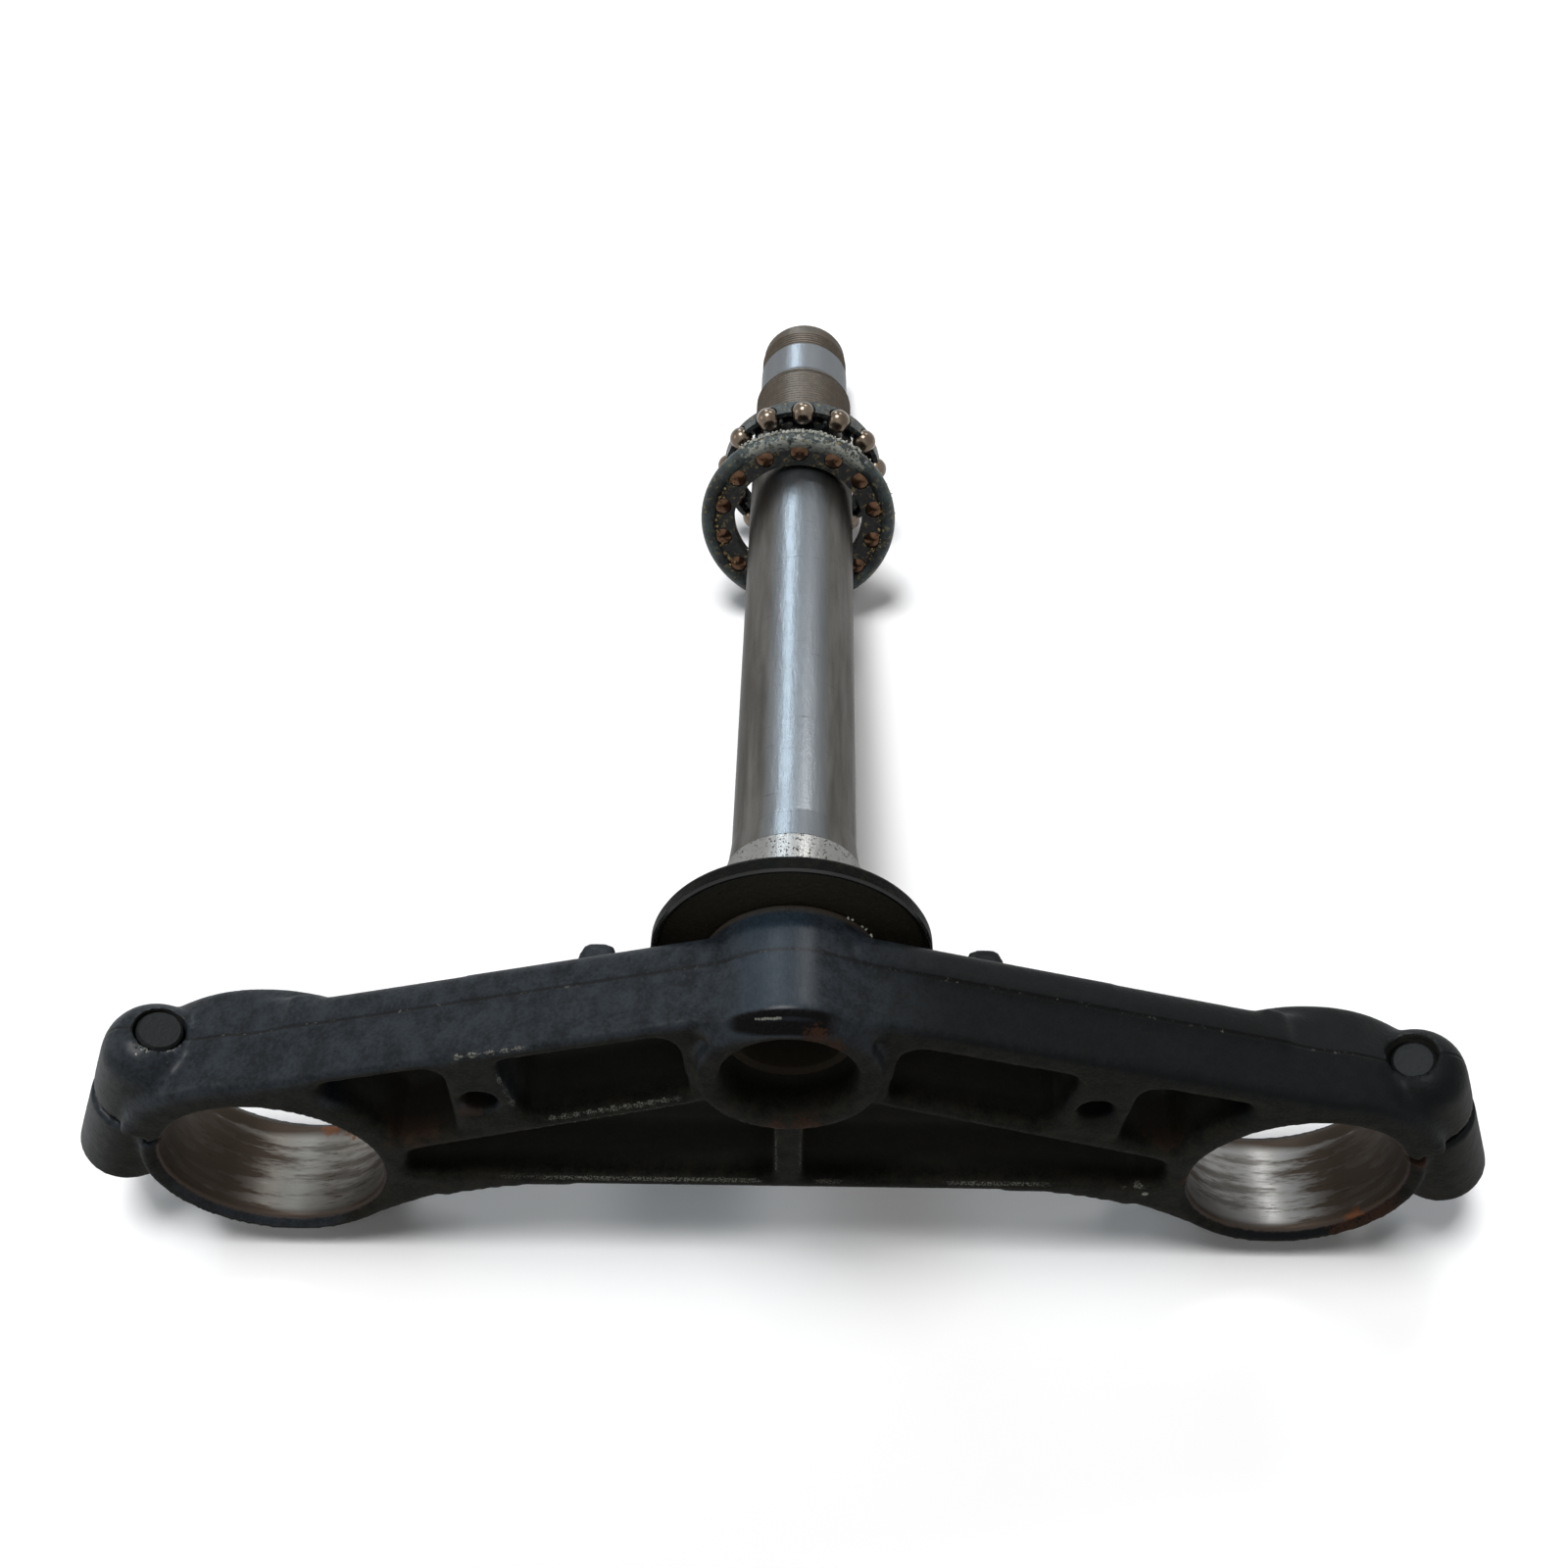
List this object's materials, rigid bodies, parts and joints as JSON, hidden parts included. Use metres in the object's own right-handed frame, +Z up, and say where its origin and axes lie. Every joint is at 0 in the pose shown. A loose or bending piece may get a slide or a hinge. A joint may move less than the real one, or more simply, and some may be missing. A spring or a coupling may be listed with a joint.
{
  "type": "motorcycle triple clamp",
  "caption": "Lower triple clamp of a motorcycle: ribbed black casting with split fork clamps and pinch bolts, pressed-in steering stem, dust seal and loose ball cages.",
  "frame": {"origin": "on the floor under the middle of the bounding box, at the height of the surface it lies on", "axes": "+Z up, +X across the clamp towards the fork bore with the shorter pinch bolt, +Y from the clamp towards the stem's tip"},
  "size_m": [0.2753, 0.2288, 0.0854],
  "materials": {
    "black_paint": "worn satin black paint on cast steel, bare and rusty in the fork bores and at chipped edges",
    "stem_steel": "turned steel, satin, lightly stained",
    "brown_steel": "stained brown",
    "black_rubber": "satin, dusty",
    "cage_steel": "pressed steel under old grease",
    "ball_steel": "polished balls under golden grease",
    "bolt_steel": "black, dull"
  },
  "bodies": {
    "root": {"lower_yoke": "black_paint", "steering_stem": "stem_steel", "seal_washer": "brown_steel", "dust_seal": "black_rubber", "lower_bearing_cage": "cage_steel", "lower_bearing_balls": "ball_steel", "upper_bearing_cage": "cage_steel", "upper_bearing_balls": "ball_steel", "left_pinch_bolt": "bolt_steel", "right_pinch_bolt": "bolt_steel"}
  },
  "joints": []
}
